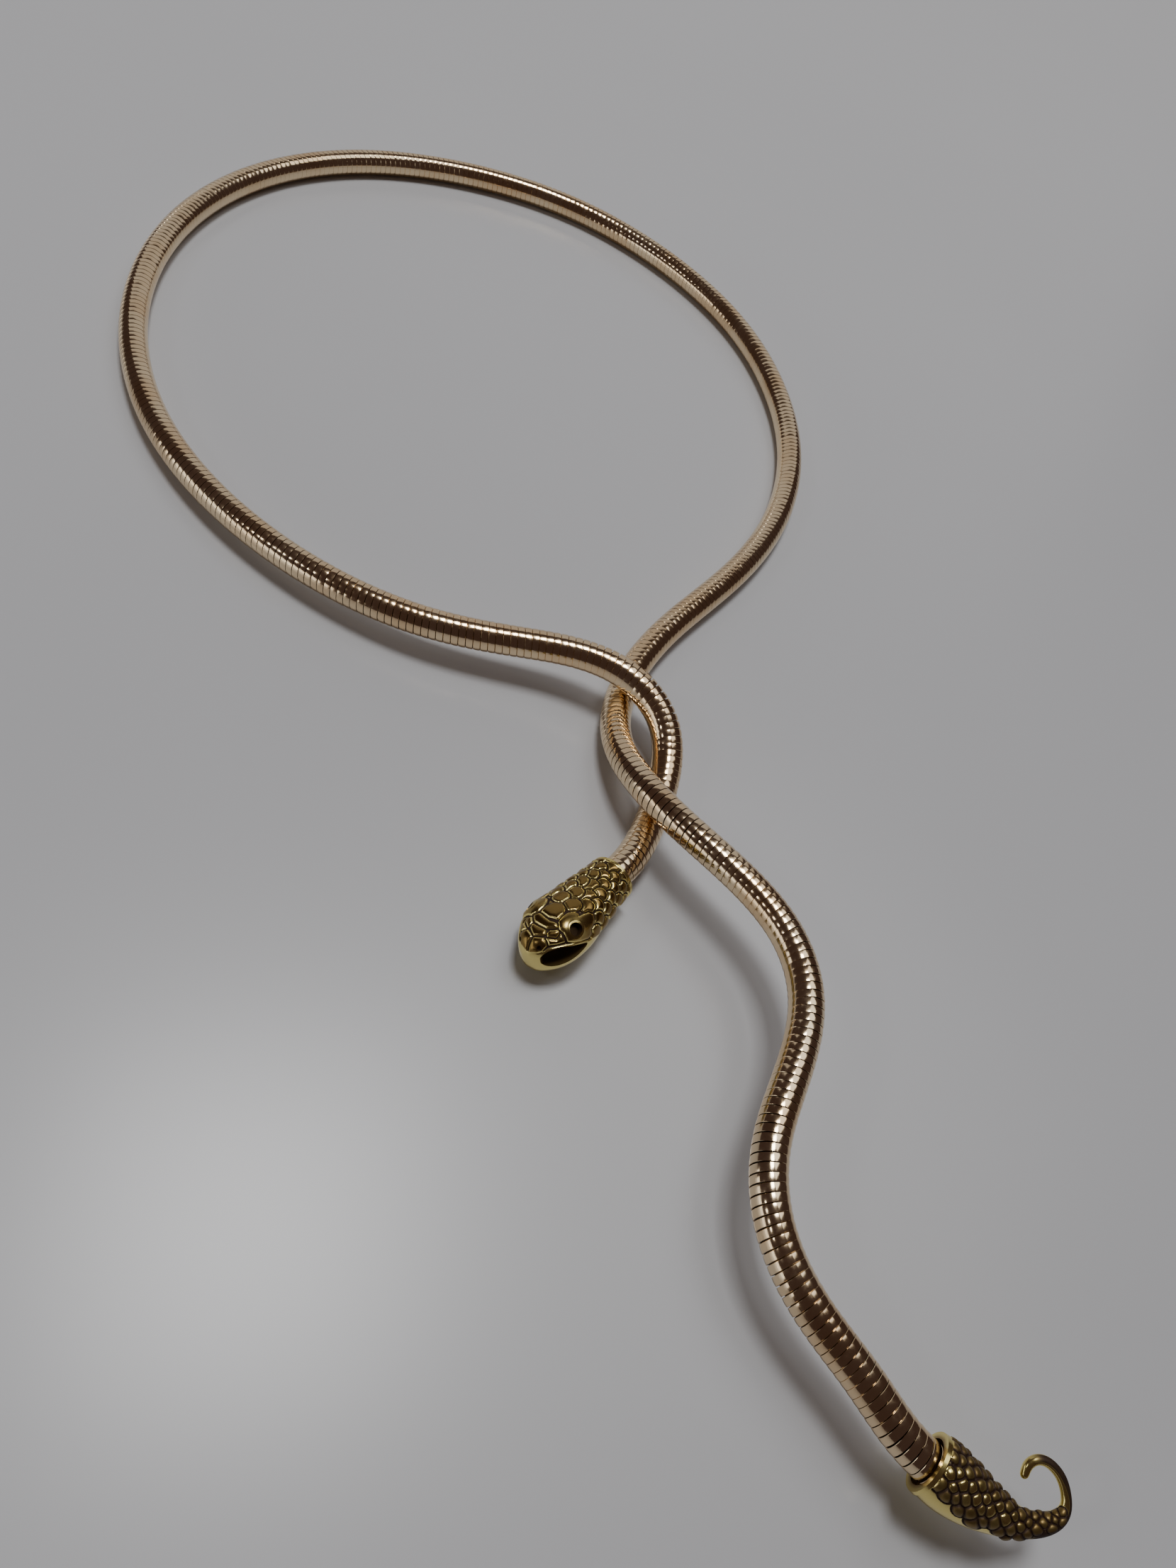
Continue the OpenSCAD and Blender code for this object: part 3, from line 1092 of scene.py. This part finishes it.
    def eyes_and_nostrils(self) -> list[Mesh]:
        """Cutters of the two round eye recesses and the two nostrils.

        Returns:
            Closed meshes.
        """
        tools = []
        for side in Side:
            eye = Matrix.Translation((self.eye_share * self.length, 0, 0))
            eye = eye @ Matrix.Rotation(-side.value * math.radians(self.eye_angle), 4, "X")
            inner, outer = self.eye_reach
            tools.append(rod(self.eye_d / 2, inner * self.width, outer * self.width, eye))
            aside, up = self.nostril_at
            forward, aslant = self.nostril_turn
            nostril = Matrix.Translation((self.nostril_share * self.length, side.value * aside, up))
            nostril = nostril @ Matrix.Rotation(math.radians(forward), 4, "Y")
            nostril = nostril @ Matrix.Rotation(-side.value * math.radians(aslant), 4, "X")
            tools.append(rod(self.nostril_d / 2, 0, self.nostril_depth, nostril, self.nostril_sides))
        return tools

    def mouth(self) -> Mesh:
        """Cutter of the slot, through from side to side behind the round post of the snout.

        Returns:
            A closed mesh.
        """
        angle = np.linspace(0, 2 * np.pi, self.mouth_sides, endpoint=False)
        middle = self.length - self.mouth_end - self.mouth_l / 2
        x = middle + self.mouth_l / 2 * np.cos(angle)
        tall = self.mouth_tall * self.mouth_h * np.sin(angle) * (1 + self.mouth_flare * np.cos(angle))
        z = self.mouth_dip * (np.cos(angle) - 1) + tall
        across = np.linspace(-1, 1, self.mouth_rings) * self.width
        rings = np.stack([np.stack([x, 0 * x + side, z], -1) for side in across])
        slot = new_object("slot", grid_mesh("slot", rings, {}))
        place = Matrix.Translation((self.length - self.post_at, 0, 0))
        cut_away(slot, [rod(self.post_d / 2, -self.height, self.height, place)], 0.0)
        mesh = slot.data
        bpy.data.objects.remove(slot)
        return mesh


@dataclass
class TailCap(Casting):
    """The cast tail: a scaled horn with a plain underside, drawn out into a round wire hook.

    A section gives a point of the middle line, along and up, and how far the casting widens there from
    the wire to the rim. The belt is where the cells end round the horn, in degrees from the middle of
    its upper side: on the near side, and on the far side at the rim and where the horn is thin. Past the
    first number of belt_closes the far side ends at the second, in radians. ridge_clears and
    ridge_shines say how much dullness a cell's top loses and how much polish it gains: everywhere, and
    on top of that on the ridge. Where another pair names a change, it starts and ends there.
    """

    rim_d: float = 9.0
    wire_d: float = 1.7
    lean: float = 60.0
    upper_side: float = 250.0
    twist: float = 35.0
    rings: int = 500
    sides: int = 180
    fineness: int = 4001
    hook_from: float = 20.0
    hook_pace: float = 0.35
    first_row: float = 1.15
    scaled_share: float = 0.66
    row_pitch: float = 1.3
    cell_pitch: float = 2.0
    cell_reach: float = 1.15
    stray: float = 0.3
    size_spread: float = 0.15
    seed: int = 5
    fit_least: float = 0.5
    fit_growth: float = 0.17
    rise: float = 0.17
    shoulder: float = 0.1
    sink: float = 0.27
    groove_w: float = 0.13
    rim_edge: Pair = (0.6, 0.8)
    worn_edge: Pair = (0.1, 0.38)
    thin_relief: Pair = (0.3, 0.25)
    # Ridge: cells along the middle of the upper side are brighter, partly from wear on the top of the cap
    # and partly from a painted highlight where the overhead lamp reflects.
    ridge_w: float = 0.28
    ridge_drift: float = 0.012
    wear_and_highlight_ends: Pair = (11.0, 15.0)
    ridge_clears: Pair = (0.15, 0.4)
    ridge_shines: Pair = (0.2, 0.75)
    dullness: float = 0.64
    # Painted shade: darkens and dulls the outer side of the horn's thin end and of the hook, standing in
    # for the dark room reflected there.
    hook_shade: float = 0.78
    hook_shade_darkens: float = 0.9
    hook_shade_starts: Pair = (14.0, 17.0)
    hook_shade_ends: Pair = (29.0, 32.0)
    hook_shade_near: Pair = (-0.1, 0.35)
    hook_shade_far: Pair = (1.1, 1.6)
    hook_shade_turn: float = 0.5
    hook_shade_turns: Pair = (22.0, 26.0)
    bore_tone: float = 0.4
    belt: Triple = (-88.0, 42.0, 62.0)
    belt_widens: Pair = (8.0, 14.0)
    belt_closes: Pair = (16.0, 0.3)
    sections: tuple[Triple, ...] = (
        (0.0, 0.0, 1.00), (1.3, 0.1, 1.07), (3.5, 0.2, 1.09), (6.7, 0.6, 0.97), (10.3, 1.3, 0.70),
        (13.2, 2.3, 0.46), (14.9, 3.2, 0.33), (16.7, 4.8, 0.25), (17.8, 6.6, 0.16), (17.9, 8.2, 0.06),
        (17.2, 9.5, 0.00), (15.8, 10.7, 0.00), (14.2, 11.5, 0.00), (12.1, 11.6, 0.00), (10.7, 10.8, 0.00),
        (10.3, 9.5, 0.00), (10.5, 8.7, -0.01), (10.7, 8.2, -0.02),
    )

    def build(self) -> Object:
        """Casts the tail.

        Returns:
            The piece, which replaces the CAD tail.
        """
        rows = np.array(self.sections)
        fine = np.linspace(0, len(rows) - 1, self.fineness)
        run = travelled(spline(rows, fine)[:, :2])
        share = np.where(run[1:] < self.hook_from, 1.0, self.hook_pace)
        pace = np.append(0, np.cumsum(np.diff(run) * share))
        at = np.interp(np.linspace(0, pace[-1], self.rings), pace, fine)
        row = spline(rows, at)
        run_at = np.interp(at, fine, run)[:, None]
        radius = (self.wire_d / 2 + row[:, 2] * (self.rim_d - self.wire_d) / 2)[:, None]
        way = unit(np.gradient(row[:, :2], axis=0))
        angle = np.linspace(0, 2 * np.pi, self.sides, endpoint=False)
        upper = np.radians(self.upper_side + self.twist * run_at / run[-1])
        off = (angle - upper + np.pi) % (2 * np.pi) - np.pi
        height, groove, polish = self.relief(run_at + 0 * off, off, radius)
        out = radius + height
        x = row[:, [0]] + out * np.cos(angle) * way[:, [1]]
        z = row[:, [1]] - out * np.cos(angle) * way[:, [0]]
        rings = np.stack([x, out * np.sin(angle), z], -1)
        tip = rings[-1].mean(0)
        ahead = np.array([way[-1, 0], 0, way[-1, 1]]) * radius[-1]
        rounding = (0.3, 0.6, 0.9, 1.2, 1.45)
        dome = [tip + (rings[-1] - tip) * math.cos(t) + ahead * math.sin(t) for t in rounding]
        rings = np.concatenate([rings, dome])
        more = np.zeros((len(dome), self.sides))
        layers = {"groove": np.concatenate([groove, more]), "polish": np.concatenate([polish, more + 1])}
        piece = new_object("cast_tail_cap", grid_mesh("tail", rings, layers), self.finish)
        cut_away(piece, self.bore(), self.bore_tone)
        self.settle(piece.data, self.route.seat(-1, -self.lean))
        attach(piece, "root")
        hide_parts("tail_cap")
        return piece

    def middles(self, line: Array, girth: Array) -> list[Triple]:
        """Staggered rows of cells, each strayed a little from its regular place.

        Args:
            line: Distance of each ring along the casting.
            girth: Radius of each ring.

        Returns:
            Each cell's place along the casting and round it, and its size.
        """
        chance = np.random.default_rng(self.seed)
        low, rim_high, thin_high = np.radians(self.belt)
        closes_at, closed_high = self.belt_closes
        found = []
        at, row = self.first_row, 0
        while at < self.scaled_share * line[-1]:
            thick = float(np.interp(at, line, girth))
            fit = min(1.0, self.fit_least + self.fit_growth * thick)
            count = max(4, round(2 * math.pi * thick / (self.cell_pitch * fit)))
            widened = float(smooth_step(np.array(at), *self.belt_widens))
            high = rim_high + (thin_high - rim_high) * widened
            for column in range(-count, count + 1):
                turn = (column + (row % 2) / 2) * 2 * math.pi / count
                if low < turn < high and (at < closes_at or turn < closed_high):
                    along, aside, size = chance.uniform(-1, 1, 3)
                    place = at + self.stray * along * fit, turn * thick + self.stray * aside * fit
                    found.append((*place, fit * (1 + self.size_spread * size)))
            at += self.row_pitch * fit
            row += 1
        return found

    def relief(self, run: Array, off: Array, radius: Array) -> tuple[Array, Array, Array]:
        """Uneven cells over the side that faces up, bright along its ridge from wear and a painted
        highlight, and painted shade over the outer side of the horn's thin end and hook.

        Args:
            run: Distance along the casting.
            off: Angle round it from the middle of its upper side, in radians.
            radius: Radius there.

        Returns:
            Height, share of groove and share of polish at each point.
        """
        layers = Relief(run, off * radius)
        layers.cells(self.middles(run[:, 0], radius[:, 0]), self.cell_reach)
        shown = smooth_step(run, *self.rim_edge)
        least, growth = self.thin_relief
        raised = layers.height(self.rise, self.shoulder) - self.sink
        height = raised * np.minimum(1, least + growth * radius)
        top = smooth_step(layers.edge, *self.worn_edge)
        # Wear and painted highlight: cells on the ridge lose dullness and gain polish.
        ridge = bell(off + self.ridge_drift * run, self.ridge_w) * (1 - smooth_step(run, *self.wear_and_highlight_ends))
        everywhere, on_ridge = self.ridge_clears
        dull = layers.taken * (self.dullness - (everywhere + on_ridge * ridge) * top)
        groove = np.maximum(layers.groove(self.groove_w), dull) * shown
        everywhere, on_ridge = self.ridge_shines
        polish = np.clip(1 - shown * layers.taken * (1 - (everywhere + on_ridge * ridge) * top), 0, 1)
        # Painted shade over the outer side of the horn's thin end and the hook.
        turned = off + self.hook_shade_turn * smooth_step(run, *self.hook_shade_turns)
        outer = smooth_step(turned, *self.hook_shade_near) * (1 - smooth_step(off, *self.hook_shade_far))
        hook_shade = self.hook_shade * outer * smooth_step(run, *self.hook_shade_starts)
        hook_shade = hook_shade * (1 - smooth_step(run, *self.hook_shade_ends))
        return height * shown, np.maximum(groove, self.hook_shade_darkens * hook_shade), polish * (1 - hook_shade)


@dataclass(frozen=True)
class Lamp:
    """A soft rectangular lamp aimed at the necklace."""

    name: str
    at: Triple
    aim: Triple
    size: Pair
    power: float

    def hang(self) -> None:
        """Puts the lamp in the scene."""
        lamp = bpy.data.lights.new(self.name, "AREA")
        lamp.shape = "RECTANGLE"
        lamp.size, lamp.size_y = self.size
        lamp.energy = self.power
        holder = new_object(self.name, lamp)
        holder.location = self.at
        holder.rotation_euler = (Vector(self.aim) - Vector(self.at)).to_track_quat("-Z", "Y").to_euler()


@dataclass(frozen=True)
class Studio:
    """Table, lamps and camera."""

    table: TableFinish = TableFinish()
    table_half: float = 0.9
    table_drop: float = 0.0001
    room: tuple[float, float, float, float] = (0.047, 0.031, 0.029, 1.0)
    right: Triple = (0.9049, -0.3290, 0.2699)
    up: Triple = (0.1338, 0.8222, 0.5534)
    forward: Triple = (0.4040, 0.4647, -0.7880)
    eye: Triple = (-0.106, -0.140, 0.1776)
    lens: float = 27.03
    clip_start: float = 0.01
    lamps: tuple[Lamp, ...] = (
        Lamp("overhead", (0.05, 0.30, 1.70), (-0.02, 0, 0), (0.45, 0.45), 12.0),
        Lamp("side_fill", (0.67, 0.22, 1.41), (0, 0, 0), (0.8, 0.8), 3.0),
        Lamp("left_line", (-1.05, 0.10, 0.85), (0, 0, 0), (0.14, 0.14), 0.5),
        Lamp("low_left", (-0.95, 0.05, 0.14), (0, 0, 0.1), (0.9, 0.26), 1.0),
        Lamp("low_far", (0.41, 1.02, 0.45), (0, 0.05, 0.2), (1.6, 0.9), 1.8),
    )

    def build(self) -> None:
        """Sets up the studio."""
        floor = bpy.data.meshes.new("table")
        half = self.table_half
        corners = [(-half, -half, 0), (half, -half, 0), (half, half, 0), (-half, half, 0)]
        floor.from_pydata(corners, [], [(0, 1, 2, 3)])
        piece = new_object("table", floor, self.table.material())
        piece.location.z = -self.table_drop
        for lamp in self.lamps:
            lamp.hang()
        world = bpy.data.worlds.new("studio")
        world.use_nodes = True
        world.node_tree.nodes["Background"].inputs["Color"].default_value = self.room
        bpy.context.scene.world = world
        lens = bpy.data.cameras.new("camera")
        lens.lens = self.lens
        lens.clip_start = self.clip_start
        camera = new_object("camera", lens)
        columns = zip(self.right, self.up, (-part for part in self.forward), self.eye)
        camera.matrix_world = Matrix([[*row] for row in columns] + [[0, 0, 0, 1]])
        bpy.context.scene.camera = camera


def main() -> None:
    """Builds the necklace and the studio, and logs how many triangles each piece has."""
    logging.basicConfig(level=logging.INFO, format="%(message)s")
    Studio().build()
    route = Route()
    gold = CastFinish().material()
    makers: tuple[Callable[[], Object], ...] = (
        Gooseneck(route).build,
        SnakeHead(route, gold).build,
        TailCap(route, gold).build,
    )
    for make in makers:
        piece = make()
        piece.data.calc_loop_triangles()
        LOG.info("%s: %d triangles", piece.name, len(piece.data.loop_triangles))


if __name__ == "__main__":
    main()
